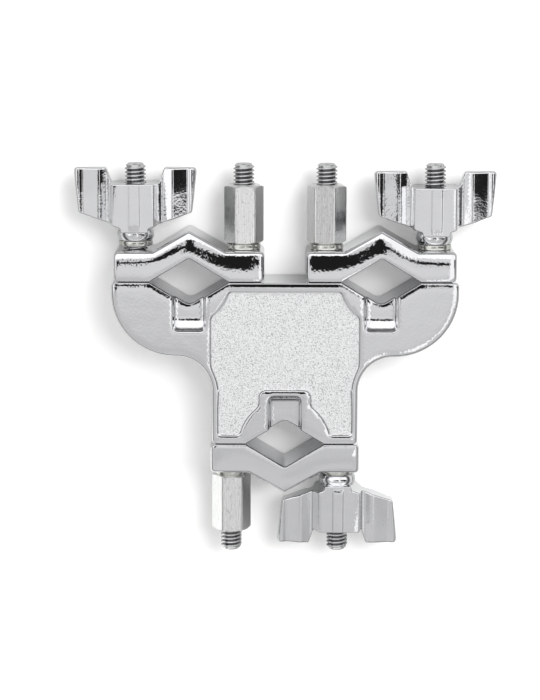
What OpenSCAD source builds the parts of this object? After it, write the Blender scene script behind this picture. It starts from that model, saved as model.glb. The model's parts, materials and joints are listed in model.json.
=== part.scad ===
/* [Clamp layout] */
// Distance between the upper parting plane and the lower one
parting_span = 60.6; // [58:0.2:71]
// Distance from the middle of the body to each upper clamp's middle
upper_clamp_x = 35.3; // [34:0.1:42]
// Distance between the two studs of one clamp
stud_spacing = 40; // [37:0.5:44]
// Distance from a stud's middle to the end of its jaw
ear_reach = 7.6; // [6.6:0.1:8.4]
// Depth of the body and the jaws, from back to front
clamp_depth = 22; // [20:0.5:28]
// Gap between a closed jaw and the body
parting_gap = 0.2; // [0:0.1:1]

/* [Tube grip] */
// Flat land between a stud's middle and the lip of the V groove
vee_land = 5.65; // [5.4:0.05:8]
// Depth of the V groove in the body and in each jaw
vee_depth = 8.7; // [6:0.1:9]
// Radius at the bottom of the V groove
vee_root_r = 1.2; // [0.6:0.1:2]
// Radius at the two lips of the V groove
vee_lip_r = 1; // [0.6:0.1:2]

/* [Body casting] */
// Radius of each round shoulder
shoulder_r = 23.5; // [21:0.5:24.5]
// Drop from the upper parting plane to the bottom of the shoulders
shoulder_drop = 27.7; // [26.2:0.1:30]
// Straight run between a shoulder's curve and the hollow below it
shoulder_run = 0.4; // [0.2:0.1:2]
// Reach of the body past the ends of the upper jaws
body_lip = 1; // [0:0.1:1.4]
// How far each side of the column stands inside the end of the lower jaw
column_inset = 0.6; // [0:0.1:1.4]
// Rounding of the castings' outer front and back edges
edge_r = 1.2; // [0.7:0.1:1.5]
// Rounding of the front and back edges along the parting planes and V grooves
grip_edge_r = 0.5; // [0.2:0.1:0.6]
// Rounding of the castings' upright corners
corner_r = 1.6; // [1.6:0.1:2.4]

/* [Front relief] */
// Width of the thumb pocket in front of each V groove
pocket_w = 11.4; // [8:0.2:13]
// Reach of the pocket past the bottom of the V groove
pocket_reach = 9.4; // [6:0.2:9.6]
// Depth of the pocket in the front face
pocket_depth = 3; // [2:0.1:4]
// Run of the ramp on which the pocket's floor rises to its far end
pocket_ramp = 4.6; // [2:0.1:6]
// Height of the wall that is left at the far end
pocket_end_wall = 1; // [0.4:0.1:1.6]
// Rounding of the pocket's far corners
pocket_corner_r = 1.8; // [1:0.1:3]
// Depth of the grained panel below its rim
panel_depth = 0.7; // [0.3:0.1:1.2]
// Width of the plain rim round the grained panel
panel_rim = 2.2; // [1.6:0.1:2.8]
// Radius of the plain ground round the middle of each upper clamp
upper_ground_r = 15; // [14.6:0.1:17]
// Radius of the plain ground round the middle of the lower clamp
lower_ground_r = 17; // [14.6:0.1:18]
// Width of the plain border beside the lower pocket
lower_border = 3.9; // [2:0.1:5]

/* [Jaws] */
// Thickness of a jaw's flat ears
ear_t = 11.1; // [8:0.1:12]
// Gap between a washer and the foot of the jaw's sloping back
washer_to_slope = 0.3; // [0.3:0.05:1.5]
// Height of the jaw's peak above its parting face
jaw_peak = 18.8; // [15:0.1:20]
// Radius on the jaw's peak
jaw_peak_r = 1.6; // [1.2:0.1:4]
// Play of a stud in its hole through the jaw, all round
jaw_hole_clearance = 0.5; // [0.3:0.05:0.8]

/* [Studs and washers] */
// Outside diameter of a stud
stud_d = 7.94; // [7:0.02:8.4]
// Reach of a stud past the parting plane
stud_reach = 43; // [40:0.2:50]
// Depth of the stud's blind hole in the body
stud_seat = 13; // [10:0.5:14]
// Bevel on the outer end of a stud
stud_bevel = 1; // [0.4:0.1:1.6]
// Play of a stud in its seat, all round
stud_seat_clearance = 0.02; // [0.01:0.01:0.05]
// Play between a stud and a nut that runs on it, all round
thread_clearance = 0.08; // [0.05:0.01:0.1]
// Outside diameter of a lock washer
washer_d = 12.6; // [11:0.1:13]
// Thickness of a lock washer
washer_t = 2; // [1.4:0.1:2.4]
// Play of a stud in its washer, all round
washer_clearance = 0.2; // [0.1:0.05:0.4]
// Width of the slanting split in a lock washer
washer_split = 0.9; // [0.5:0.1:1.5]
// Slant of that split
split_slant = 25; // [0:1:35]

/* [Long hex nuts] */
// Distance across the flats of a long nut
hex_flats = 12.9; // [12.7:0.1:13.4]
// Height of a long nut
hex_h = 22; // [16:0.1:26]
// Diameter of the round face that the bevel leaves at each end
hex_face_d = 12.4; // [12:0.1:12.6]
// Depth of that bevel at the nut's corners
hex_bevel = 1; // [0.4:0.1:1.4]
// Turn of the upper right long nut away from square
upper_right_hex_turn = -8; // [-30:1:30]
// Turn of the lower long nut away from square
lower_hex_turn = 9; // [-30:1:30]

/* [Wing nuts] */
// Diameter of the wing nut's hub
hub_d = 17.8; // [16:0.2:19]
// Height of the hub's top above the nut's seat
hub_h = 21.3; // [18:0.1:25]
// Diameter of the round collar that bears on the washer
collar_d = 13.6; // [13:0.1:14.4]
// Height of the collar
collar_h = 4.5; // [3.6:0.1:5]
// Swell of the collar between its two ends
collar_swell = 0.6; // [0.2:0.1:0.8]
// Half the width of the hub's foot, where the slopes under the wings start
wing_root_x = 5; // [4.2:0.1:6]
// Height over the seat where the slope under the wings meets the collar
wing_root_h = 4.9; // [4:0.1:6]
// Distance from the stud's middle to the tip of a wing
wing_reach = 22.8; // [21.6:0.1:24]
// Height of the wings' top above the nut's seat
wing_top = 27; // [25.4:0.1:29]
// Height of the wings' lower outer corner above the nut's seat
wing_corner_h = 10.3; // [9:0.1:12]
// Slant of the wings' outer edge, from its lower corner to its top
wing_flare = 1.9; // [0.5:0.1:3]
// Distance from the stud's middle to the ridge beside the finger pad
ridge_x = 13.4; // [12.4:0.1:14.4]
// Thickness of a wing at that ridge
ridge_t = 8.2; // [7:0.1:9.4]
// Width of the ridge's crest
ridge_w = 1; // [0.4:0.1:1.6]
// Run of the slope from the web up to the ridge
ridge_slope = 2.4; // [1:0.1:2.6]
// Thickness of a wing where it leaves the hub
web_t = 6; // [5:0.1:7]
// Thickness of a wing at the outer end of the finger pad
pad_t = 5; // [4:0.1:6]
// Thickness of a wing at its rim
rim_t = 6.2; // [5:0.1:7]
// Width of the rim round the wing's tip
rim_w = 2.4; // [2:0.1:3]
// Run of the slope from the finger pad up to the rim
rim_slope = 1; // [0.6:0.1:1.4]
// Rounding of the wing's two outer corners, seen from above
tip_r = 1.6; // [0.6:0.1:1.8]
// Rounding of the wing's corners, seen from the front
wing_corner_r = 1.4; // [0.6:0.1:2]
// Rounding of the wing's pads, ridges and inner edges
pad_r = 0.5; // [0.2:0.1:0.8]
// Width of the raised strip down the hub's front and back
strip_w = 3.8; // [2:0.1:5]
// Height of that strip above the hub
strip_h = 0.25; // [0.1:0.05:0.5]
// Gap left under the washer of the loosened upper left wing nut
loose_gap = 1.2; // [0:0.1:2]

/* [Hidden] */

// Parting planes, measured from the middle of the body
parting_y = parting_span / 2;
// Middle of the castings' depth, where the studs lie
mid_z = clamp_depth / 2;
// Distance from a clamp's middle to each of its studs
stud_x = stud_spacing / 2;
// Half the length of a jaw
jaw_x = stud_x + ear_reach;
// Half the width of a V groove at its mouth
vee_x = stud_x - vee_land;
// Half the width over both shoulders
shoulder_x = upper_clamp_x + jaw_x + body_lip;
// Half the width of the column
column_x = jaw_x - column_inset;
// Height of the bottom of the shoulders
shoulder_y = parting_y - shoulder_drop;
// Radius of the hollow between a shoulder and the column
armpit_r = shoulder_x - column_x - shoulder_r - shoulder_run;
// Radius of a stud
stud_r = stud_d / 2;
// Foot of the jaw's sloping back
knee_x = stud_x - washer_d / 2 - washer_to_slope;
// Seat of the washers, measured from the parting plane
washer_seat = parting_gap + ear_t;
// Seat of the nuts, measured from the parting plane
nut_seat = washer_seat + washer_t;
// Far end of a pocket, measured from its parting plane
pocket_end = vee_depth + pocket_reach;
// How far a cut runs past the face that it opens
past = 1;
// Run of an edge band past each face that it meets, as a share of its end steps
overrun = 0.12;
// Reach of an edge band outside its casting, as a share of the edge's rounding
outer_share = 0.4;
// Steps in a rounded edge and in small corners
edge_steps = 3;
corner_steps = 3;
// Steps in the shoulders' curves
shoulder_steps = 14;
armpit_steps = 10;
// Steps in the pockets' ramps and in the collars' swell
ramp_steps = 6;
swell_steps = 6;
// Facets of the round pieces
round_facets = 64;
// Colours of chrome, of the bare studs and of the plated washers
chrome = [0.82, 0.83, 0.85];
steel = [0.62, 0.62, 0.63];
washer_steel = [0.72, 0.7, 0.67];

// A point or way turned by an angle
function turned(p, angle) =
    [p.x * cos(angle) - p.y * sin(angle), p.x * sin(angle) + p.y * cos(angle)];

// Unit way across the side from a to b, into an outline that runs anticlockwise
function inward(a, b) = turned((b - a) / norm(b - a), 90);

// Corner b moved so that the side before it moves in by d and the side after it by e
function moved_corner(a, b, c, d, e) =
    let(m = inward(a, b), n = inward(b, c), k = m * n)
    b + (d * (m - k * n) + e * (n - k * m)) / (1 - k * k);

// Arc of radius r that rounds the corner b between a and c
function round_corner(a, b, c, r, steps) =
    let(
        u = (a - b) / norm(a - b),
        v = (c - b) / norm(c - b),
        half = acos(u * v) / 2,
        middle = b + r / sin(half) * (u + v) / norm(u + v),
        first = b + r / tan(half) * u - middle,
        sweep = sign(cross(b - a, c - b)) * (180 - 2 * half)
    )
    [for (i = [0:steps]) middle + turned(first, sweep * i / steps)];

// Outline of corners [x, y, radius, steps, edge rounding of the side after it].
// share is how much of each side's edge rounding it is drawn in by.
function outline(corners, share = 0) =
    let(
        n = len(corners),
        at = [for (c = corners) [c[0], c[1]]],
        moved = [for (i = [0:n - 1])
            moved_corner(
                at[(i + n - 1) % n], at[i], at[(i + 1) % n],
                share * corners[(i + n - 1) % n][4], share * corners[i][4]
            )]
    )
    [for (i = [0:n - 1])
        let(
            before = (i + n - 1) % n,
            after = (i + 1) % n,
            bend = sign(cross(at[i] - at[before], at[after] - at[i])),
            drawn = share * (corners[before][4] + corners[i][4]) / 2
        )
        each round_corner(
            moved[before], moved[i], moved[after],
            corners[i][2] - bend * drawn, corners[i][3]
        )];

// Band that rounds the edge between a casting's back face and its sides. It is a closed
// ring whose section runs a little past both faces, so that it cuts them cleanly.
module edge_band(corners) {
    arc = [for (i = [0:edge_steps])
        let(a = 90 * i / edge_steps)
        [1 - sin(a), edge_r * (1 - cos(a))]];
    section = [
        arc[0] + overrun * (arc[0] - arc[1]),
        for (i = [1:edge_steps - 1]) arc[i],
        arc[edge_steps] + overrun * (arc[edge_steps] - arc[edge_steps - 1]),
        [-outer_share, -2 * edge_r]
    ];
    rings = [for (p = section) [for (q = outline(corners, p.x)) [q.x, q.y, p.y]]];
    m = len(rings[0]);
    n = len(rings);
    polyhedron(
        points = [for (ring = rings) each ring],
        faces = concat(
            [for (k = [0:n - 1], i = [0:m - 1])
                [k * m + i, (k + 1) % n * m + (i + 1) % m, (k + 1) % n * m + i]],
            [for (k = [0:n - 1], i = [0:m - 1])
                [k * m + i, k * m + (i + 1) % m, (k + 1) % n * m + (i + 1) % m]]
        )
    );
}

// Cast block of this outline, with its front and back edges rounded
module casting(corners) {
    difference() {
        linear_extrude(clamp_depth)
            polygon(outline(corners));
        edge_band(corners);
        translate([0, 0, clamp_depth])
            mirror([0, 0, 1])
                edge_band(corners);
    }
}

// Cylinder that stands on y = 0 and runs along +Y
module along_y(r, h) {
    rotate([-90, 0, 0])
        cylinder(r = r, h = h, $fn = round_facets);
}

// Profile of [radius, height] points turned round the Y axis
module turned_along_y(profile) {
    rotate([-90, 0, 0])
        rotate_extrude($fn = round_facets)
            polygon(profile);
}

// Places a piece at one upper clamp: side is -1 on the left and 1 on the right
module at_upper_clamp(side) {
    translate([side * upper_clamp_x, parting_y, 0])
        children();
}

// Places a piece at the lower clamp, which points the other way
module at_lower_clamp() {
    rotate([0, 0, 180])
        translate([0, parting_y, 0])
            children();
}

// Places a piece on a stud of the clamp, at a height over the parting plane
module on_stud(side, h) {
    translate([side * stud_x, h, mid_z])
        children();
}

// V groove seen as three corners, from its lip at x + way to the other lip
function vee_corners(x, y, way, down) = [
    [x - way * vee_x, y, vee_lip_r, corner_steps, grip_edge_r],
    [x, y + down * vee_depth, vee_root_r, corner_steps, grip_edge_r],
    [x + way * vee_x, y, vee_lip_r, corner_steps, grip_edge_r]
];

// Outline of the body, anticlockwise from its upper left corner
function body_corners() = concat(
    [
        [-shoulder_x, parting_y, corner_r, corner_steps, edge_r],
        [-shoulder_x, shoulder_y, shoulder_r, shoulder_steps, edge_r],
        [-column_x, shoulder_y, armpit_r, armpit_steps, edge_r],
        [-column_x, -parting_y, corner_r, corner_steps, grip_edge_r]
    ],
    vee_corners(0, -parting_y, 1, 1),
    [
        [column_x, -parting_y, corner_r, corner_steps, edge_r],
        [column_x, shoulder_y, armpit_r, armpit_steps, edge_r],
        [shoulder_x, shoulder_y, shoulder_r, shoulder_steps, edge_r],
        [shoulder_x, parting_y, corner_r, corner_steps, grip_edge_r]
    ],
    vee_corners(upper_clamp_x, parting_y, -1, -1),
    vee_corners(-upper_clamp_x, parting_y, -1, -1)
);

// Outline of a jaw that stands on its parting face
function jaw_corners() = concat(
    [[-jaw_x, 0, corner_r, corner_steps, grip_edge_r]],
    vee_corners(0, 0, 1, 1),
    [
        [jaw_x, 0, corner_r, corner_steps, edge_r],
        [jaw_x, ear_t, corner_r, corner_steps, edge_r],
        [knee_x, ear_t, corner_r, corner_steps, edge_r],
        [0, jaw_peak, jaw_peak_r, corner_steps, edge_r],
        [-knee_x, ear_t, corner_r, corner_steps, edge_r],
        [-jaw_x, ear_t, corner_r, corner_steps, edge_r]
    ]
);

// Flat shape of a pocket that runs down from the parting plane
module pocket_shape(border = 0) {
    half = pocket_w / 2 + border;
    end = pocket_end + min(border, panel_rim);
    translate([-half, -end + pocket_corner_r])
        square([2 * half, end - pocket_corner_r + past]);
    translate([-half + pocket_corner_r, -end])
        square([2 * (half - pocket_corner_r), end]);
    for (side = [-1, 1])
        translate([side * (half - pocket_corner_r), -end + pocket_corner_r])
            circle(r = pocket_corner_r, $fn = round_facets);
}

// Pocket seen from its side: a level floor, then an arc up to the wall at its far end
module pocket_profile() {
    rise = pocket_depth - pocket_end_wall;
    ramp_r = (pocket_ramp * pocket_ramp + rise * rise) / (2 * rise);
    ramp_angle = asin(pocket_ramp / ramp_r);
    ramp_start = [pocket_ramp - pocket_end, clamp_depth - pocket_depth];
    polygon([
        [-pocket_end - past, clamp_depth + past],
        [-pocket_end - past, clamp_depth - pocket_end_wall],
        for (i = [ramp_steps:-1:0])
            let(a = ramp_angle * i / ramp_steps)
            ramp_start + ramp_r * [-sin(a), 1 - cos(a)],
        [past, clamp_depth - pocket_depth],
        [past, clamp_depth + past]
    ]);
}

// Pocket cut into the front face
module pocket() {
    intersection() {
        translate([0, 0, clamp_depth - pocket_depth - past])
            linear_extrude(pocket_depth + 2 * past)
                pocket_shape();
        rotate([90, 0, 90])
            linear_extrude(pocket_w + 2 * past, center = true)
                pocket_profile();
    }
}

// Flat shape of the grained panel, which keeps clear of the grips and hollows
module panel_shape() {
    side_x = upper_clamp_x - pocket_w / 2 - panel_rim;
    top_y = parting_y - panel_rim - edge_r;
    armpit_y = shoulder_y - armpit_r;
    foot_y = -parting_y + panel_rim + edge_r;
    difference() {
        union() {
            translate([-side_x, armpit_y])
                square([2 * side_x, top_y - armpit_y]);
            translate([-column_x + panel_rim, foot_y])
                square([2 * (column_x - panel_rim), top_y - foot_y]);
        }
        for (side = [-1, 1]) {
            translate([side * upper_clamp_x, parting_y])
                circle(r = upper_ground_r, $fn = round_facets);
            translate([side * (column_x + armpit_r), armpit_y])
                circle(r = armpit_r + panel_rim, $fn = round_facets);
        }
        translate([0, -parting_y])
            circle(r = lower_ground_r, $fn = round_facets);
        translate([0, -parting_y])
            rotate(180)
                pocket_shape(lower_border);
    }
}

module body() {
    color(chrome)
        difference() {
            casting(body_corners());
            for (side = [-1, 1]) {
                at_upper_clamp(side) {
                    pocket();
                    for (stud = [-1, 1])
                        on_stud(stud, -stud_seat)
                            along_y(stud_r + stud_seat_clearance, stud_seat + past);
                }
                at_lower_clamp()
                    on_stud(side, -stud_seat)
                        along_y(stud_r + stud_seat_clearance, stud_seat + past);
            }
            at_lower_clamp()
                pocket();
            translate([0, 0, clamp_depth - panel_depth])
                linear_extrude(panel_depth + past)
                    panel_shape();
        }
}

module jaw() {
    color(chrome)
        translate([0, parting_gap, 0])
            difference() {
                casting(jaw_corners());
                for (side = [-1, 1])
                    on_stud(side, -past)
                        along_y(stud_r + jaw_hole_clearance, ear_t + 2 * past);
            }
}

// Stud with its inner end at the bottom of the blind hole
module stud(side) {
    color(steel)
        on_stud(side, -stud_seat)
            turned_along_y([
                [0, 0],
                [stud_r, 0],
                [stud_r, stud_seat + stud_reach - stud_bevel],
                [stud_r - stud_bevel, stud_seat + stud_reach],
                [0, stud_seat + stud_reach]
            ]);
}

// Lock washer: a ring with one slanting split, which faces the back
module lock_washer(side, lift = 0) {
    color(washer_steel)
        on_stud(side, washer_seat + lift)
            difference() {
                along_y(washer_d / 2, washer_t);
                translate([0, -past, 0])
                    along_y(stud_r + washer_clearance, washer_t + 2 * past);
                translate([0, washer_t / 2, -washer_d / 2])
                    rotate([0, 0, split_slant])
                        cube([washer_split, 3 * washer_t, washer_d], center = true);
            }
}

// Long nut: a hexagon with both ends turned to a bevel
module hex_nut(side, turn = 0) {
    corner = hex_flats / sqrt(3);
    face_r = hex_face_d / 2;
    // The bevel's cone, carried on past the nut's corners
    out_r = 2 * corner - face_r;
    color(chrome)
        on_stud(side, nut_seat)
            rotate([0, turn, 0])
                difference() {
                    intersection() {
                        rotate([-90, 0, 0])
                            cylinder(r = corner, h = hex_h, $fn = 6);
                        turned_along_y([
                            [0, 0],
                            [face_r, 0],
                            [out_r, 2 * hex_bevel],
                            [out_r, hex_h - 2 * hex_bevel],
                            [face_r, hex_h],
                            [0, hex_h]
                        ]);
                    }
                    translate([0, -past, 0])
                        along_y(stud_r + thread_clearance, hex_h + 2 * past);
                }
}

// Both halves of an outline that is the same left and right, from its right half
function both_sides(half) = concat(
    half,
    [for (i = [len(half) - 1:-1:0]) [-half[i][0], half[i][1], half[i][2], half[i][3], 0]]
);

// Wing nut seen from its front: both wings, the hub and its tapered underside
module wing_nut_front() {
    inner_x = hub_d / 2 + (wing_top - hub_h) / 3;
    polygon(outline(both_sides([
        [wing_root_x, collar_h - past, pad_r, corner_steps, 0],
        [wing_root_x, wing_root_h, pad_r, corner_steps, 0],
        [wing_reach - wing_flare, wing_corner_h, wing_corner_r, corner_steps, 0],
        [wing_reach, wing_top, wing_corner_r, corner_steps, 0],
        [inner_x, wing_top, pad_r, corner_steps, 0],
        [hub_d / 2, hub_h, pad_r, corner_steps, 0]
    ])));
}

// Wing nut seen from above: the round hub and both wings with their finger pads
module wing_nut_plan() {
    rim_x = wing_reach - rim_w;
    ridge_in = ridge_x - ridge_w / 2;
    front = [
        [wing_reach, rim_t / 2, tip_r, corner_steps, 0],
        [rim_x, rim_t / 2, pad_r, corner_steps, 0],
        [rim_x - rim_slope, pad_t / 2, pad_r, corner_steps, 0],
        [ridge_in + ridge_w, ridge_t / 2, pad_r, corner_steps, 0],
        [ridge_in, ridge_t / 2, pad_r, corner_steps, 0],
        [ridge_in - ridge_slope, web_t / 2, pad_r, corner_steps, 0]
    ];
    upper = both_sides(front);
    circle(d = hub_d, $fn = round_facets);
    polygon(outline(concat(upper, [for (c = upper) [-c[0], -c[1], c[2], c[3], 0]])));
    square([strip_w, hub_d + 2 * strip_h], center = true);
}

// Wing nut bored through; its front shape and its plan meet in one solid
module wing_nut(side, lift = 0) {
    color(chrome)
        on_stud(side, nut_seat + lift)
            difference() {
                union() {
                    turned_along_y([
                        [0, 0],
                        for (i = [0:swell_steps])
                            let(h = collar_h * i / swell_steps, lean = 2 * h / collar_h - 1)
                            [collar_d / 2 - collar_swell * lean * lean, h],
                        [0, collar_h]
                    ]);
                    intersection() {
                        translate([0, 0, -hub_d])
                            linear_extrude(2 * hub_d)
                                wing_nut_front();
                        rotate([-90, 0, 0])
                            linear_extrude(wing_top + past)
                                wing_nut_plan();
                    }
                }
                translate([0, -past, 0])
                    along_y(stud_r + thread_clearance, wing_top + 2 * past);
            }
}

module upper_left_jaw() { at_upper_clamp(-1) jaw(); }
module upper_right_jaw() { at_upper_clamp(1) jaw(); }
module lower_jaw() { at_lower_clamp() jaw(); }
module upper_left_outer_stud() { at_upper_clamp(-1) stud(-1); }
module upper_left_inner_stud() { at_upper_clamp(-1) stud(1); }
module upper_right_inner_stud() { at_upper_clamp(1) stud(-1); }
module upper_right_outer_stud() { at_upper_clamp(1) stud(1); }
module lower_left_stud() { at_lower_clamp() stud(1); }
module lower_right_stud() { at_lower_clamp() stud(-1); }
module upper_left_wing_washer() { at_upper_clamp(-1) lock_washer(-1, loose_gap); }
module upper_left_hex_washer() { at_upper_clamp(-1) lock_washer(1); }
module upper_right_hex_washer() { at_upper_clamp(1) lock_washer(-1); }
module upper_right_wing_washer() { at_upper_clamp(1) lock_washer(1); }
module lower_hex_washer() { at_lower_clamp() lock_washer(1); }
module lower_wing_washer() { at_lower_clamp() lock_washer(-1); }
module upper_left_wing_nut() { at_upper_clamp(-1) wing_nut(-1, loose_gap); }
module upper_right_wing_nut() { at_upper_clamp(1) wing_nut(1); }
module lower_wing_nut() { at_lower_clamp() wing_nut(-1); }
module upper_left_hex_nut() { at_upper_clamp(-1) hex_nut(1); }
module upper_right_hex_nut() { at_upper_clamp(1) hex_nut(-1, upper_right_hex_turn); }
module lower_hex_nut() { at_lower_clamp() hex_nut(1, lower_hex_turn); }

body();
upper_left_jaw();
upper_right_jaw();
lower_jaw();
upper_left_outer_stud();
upper_left_inner_stud();
upper_right_inner_stud();
upper_right_outer_stud();
lower_left_stud();
lower_right_stud();
upper_left_wing_washer();
upper_left_hex_washer();
upper_right_hex_washer();
upper_right_wing_washer();
lower_hex_washer();
lower_wing_washer();
upper_left_wing_nut();
upper_right_wing_nut();
lower_wing_nut();
upper_left_hex_nut();
upper_right_hex_nut();
lower_hex_nut();
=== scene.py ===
# %% [markdown]
# # Dressing a three-way tube clamp
#
# The object is a chromed drum-hardware clamp: one flat casting with three V grooves, each closed
# by a jaw that a wing nut and a long hexagon nut draw down on two studs.
# The solids come packed from the CAD source and fix every place and size here.
# This lesson makes the polished and grained surfaces that the real clamp shows.
# Everything is in metres: X to the photo's right, Y up the photo, Z towards the viewer.

import json
import math

import bmesh
import bpy
import numpy as np
from mathutils import Matrix, Vector
from mathutils.geometry import delaunay_2d_cdt

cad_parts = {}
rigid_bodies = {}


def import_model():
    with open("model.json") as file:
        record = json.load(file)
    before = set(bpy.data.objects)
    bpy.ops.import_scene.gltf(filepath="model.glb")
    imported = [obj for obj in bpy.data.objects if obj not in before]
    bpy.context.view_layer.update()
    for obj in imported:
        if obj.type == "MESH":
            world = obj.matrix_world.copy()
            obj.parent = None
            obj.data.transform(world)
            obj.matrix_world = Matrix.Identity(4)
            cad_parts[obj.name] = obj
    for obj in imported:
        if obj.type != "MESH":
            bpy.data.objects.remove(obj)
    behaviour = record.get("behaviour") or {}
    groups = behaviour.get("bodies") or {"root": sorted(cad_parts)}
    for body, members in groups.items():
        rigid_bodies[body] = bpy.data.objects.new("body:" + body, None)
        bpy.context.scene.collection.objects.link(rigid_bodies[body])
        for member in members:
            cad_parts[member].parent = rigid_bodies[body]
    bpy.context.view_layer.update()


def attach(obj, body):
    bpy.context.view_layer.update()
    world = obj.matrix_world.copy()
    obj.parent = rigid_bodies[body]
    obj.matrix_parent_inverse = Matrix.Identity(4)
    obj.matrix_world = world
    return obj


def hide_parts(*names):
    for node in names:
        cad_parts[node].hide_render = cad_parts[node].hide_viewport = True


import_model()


# %% [markdown]
# ## The camera
#
# The photo was taken by hand from about 0.7 m, a little above the clamp as it lies.
# The far edges of the grooves show above the near ones, which gives the height of the eye.
# A small shift keeps the clamp where the photo has it without turning the camera further.

# %% Place the camera
PHOTO = (540, 700)
EYE = Vector((-0.0056, 0.1381, 0.700))
EYE_TILT = 8.88
EYE_ROLL = 0.14
FOCAL_PIXELS = 1876.2
SHIFT_PIXELS = -72.0
SENSOR_MM = 36.0


def in_scene(name, data):
    """New object with that data in the scene."""
    made = bpy.data.objects.new(name, data)
    bpy.context.scene.collection.objects.link(made)
    return made


camera = in_scene("camera", bpy.data.cameras.new("camera"))
camera.data.sensor_width = SENSOR_MM
camera.data.lens = FOCAL_PIXELS * SENSOR_MM / max(PHOTO)
camera.data.shift_y = SHIFT_PIXELS / max(PHOTO)
camera.data.clip_start = 0.01
camera.data.clip_end = 20.0
camera.matrix_world = (
    Matrix.Translation(EYE)
    @ Matrix.Rotation(math.radians(-EYE_TILT), 4, "X")
    @ Matrix.Rotation(math.radians(EYE_ROLL), 4, "Z")
)
bpy.context.scene.camera = camera
print("lens", round(camera.data.lens, 1), "mm")

# %% [markdown]
# ## A soft brush
#
# Chromed castings are ground and buffed before they are plated, so a wheel has drawn every flat
# down a little towards its edges, and no step is perfectly sharp.
# Such a surface could be sculpted, or bevelled and smoothed by modifiers.
# Here one measure does it all: the share of a soft round brush that lies inside an outline.
# It is 1 well inside, a half on the edge and 0 outside, and it changes without any crease, which
# matters because polished metal shows every crease in what it mirrors.

# %% Measure the share of a soft brush inside an outline
MM = 0.001


def unit(vectors):
    """The vectors divided by their lengths."""
    return vectors / np.linalg.norm(vectors, axis=-1, keepdims=True)


def closed_steps(path):
    """Vectors from each point of a closed path to the next."""
    return np.roll(path, -1, axis=0) - path


def refined(path, longest):
    """The closed path with every side cut into pieces no longer than the given length."""
    steps = closed_steps(path)
    cuts = np.maximum(1, np.ceil(np.linalg.norm(steps, axis=1) / longest)).astype(int)
    side = np.repeat(np.arange(len(path)), cuts)
    first = np.repeat(np.cumsum(cuts) - cuts, cuts)
    share = (np.arange(len(side)) - first) / cuts[side]
    return path[side] + steps[side] * share[:, None]


def brush_share(points, path, radius):
    """Share of a bell-shaped brush, centred on each point, that lies inside an anticlockwise path.
    The sum runs round the path: each short side adds its outward length times the reach r to it,
    times (1 - exp(-r^2 / 2 radius^2)) / (2 pi r^2)."""
    path = refined(path, radius * 0.5)
    steps = closed_steps(path)
    middle = path + steps / 2
    outward = np.stack([steps[:, 1], -steps[:, 0]], axis=1)
    shares = np.empty(len(points))
    for part in np.array_split(np.arange(len(points)), 1 + len(points) * len(path) // 4000000):
        reach = middle[None] - points[part, None]
        square = np.maximum((reach ** 2).sum(axis=2), 1e-12)
        weight = -np.expm1(-square / (2 * radius ** 2)) / (2 * np.pi * square)
        shares[part] = ((reach * outward[None]).sum(axis=2) * weight).sum(axis=1)
    return shares


square = np.array([[-5.0, -5], [5, -5], [5, 5], [-5, 5]])
shares = brush_share(np.array([[0.0, 0], [5, 0], [5, 5]]), square, 1)
print("brush at middle, edge, corner:", shares.round(3))

# %% [markdown]
# ## Outlines with rounded corners
#
# Each casting and each wing nut is a thick plate of one outline.
# An outline is a short list of corners: place, radius, and how far the edge of the side that
# follows is rounded over. Drawing every side in by a share of its own rounding gives the rings
# that roll from the face over the edge to the wall, with the same number of points in each.

# %% Draw a rounded outline at any share of its edge rounding
def rounded_outline(corners, share=0.0, longest=0.6):
    """Closed outline: sides moved in by share times their rounding, joined by tangent arcs.
    Returns the points and the edge rounding at each of them."""
    corners = np.asarray(corners, dtype=float)
    place, radius, after = corners[:, :2], corners[:, 2], corners[:, 3]
    before = np.roll(after, 1)
    into = unit(place - np.roll(place, 1, axis=0))
    out = np.roll(into, -1, axis=0)
    m = np.stack([-into[:, 1], into[:, 0]], axis=1)
    n = np.stack([-out[:, 1], out[:, 0]], axis=1)
    k = (m * n).sum(axis=1)[:, None]
    d, e = share * before[:, None], share * after[:, None]
    moved = place + (d * (m - k * n) + e * (n - k * m)) / (1 - k * k)
    turn = np.arctan2(into[:, 0] * out[:, 1] - into[:, 1] * out[:, 0], (into * out).sum(axis=1))
    bend = np.sign(turn)
    drawn = radius - bend * share * (before + after) / 2
    tangent = drawn * np.tan(np.abs(turn) / 2)
    first = moved - into * tangent[:, None]
    centre = first + m * (bend * drawn)[:, None]
    points, rounding = [], []
    reach = (radius * np.tan(np.abs(turn) / 2))[:, None]
    plain, plain_end = place - into * reach, place + out * reach
    for i in range(len(corners)):
        steps = int(max(6, np.ceil(radius[i] * abs(turn[i]) / longest)))
        way = turn[i] * np.linspace(0, 1, steps + 1)[:, None]
        arm = first[i] - centre[i]
        arc = centre[i] + arm * np.cos(way) + np.array([-arm[1], arm[0]]) * np.sin(way)
        j = (i + 1) % len(corners)
        length = np.linalg.norm(plain[j] - plain_end[i])
        cuts = int(max(1, np.ceil(length / longest)))
        side = arc[-1] + (first[j] - arc[-1]) * (np.arange(1, cuts) / cuts)[:, None]
        points += [arc, side]
        blend = np.linspace(0, 1, steps + 1)
        rounding += [before[i] + (after[i] - before[i]) * blend, np.full(cuts - 1, after[i])]
    return np.concatenate(points), np.concatenate(rounding)


# %% [markdown]
# ## Plates with soft faces
#
# A plate is made of rings and two faces. The rings carry a quarter round from the front face over
# the edge, down the wall and round to the back. Each face is a net of triangles over scattered
# points, laid closer where its height changes quickly, and the height of every point is worked
# out for the whole face at once.
# A grid would be simpler, but its squares would cut the slanting edges into steps.
# The normals are worked out from the height as well, so that the mirror shows no facets.

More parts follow.
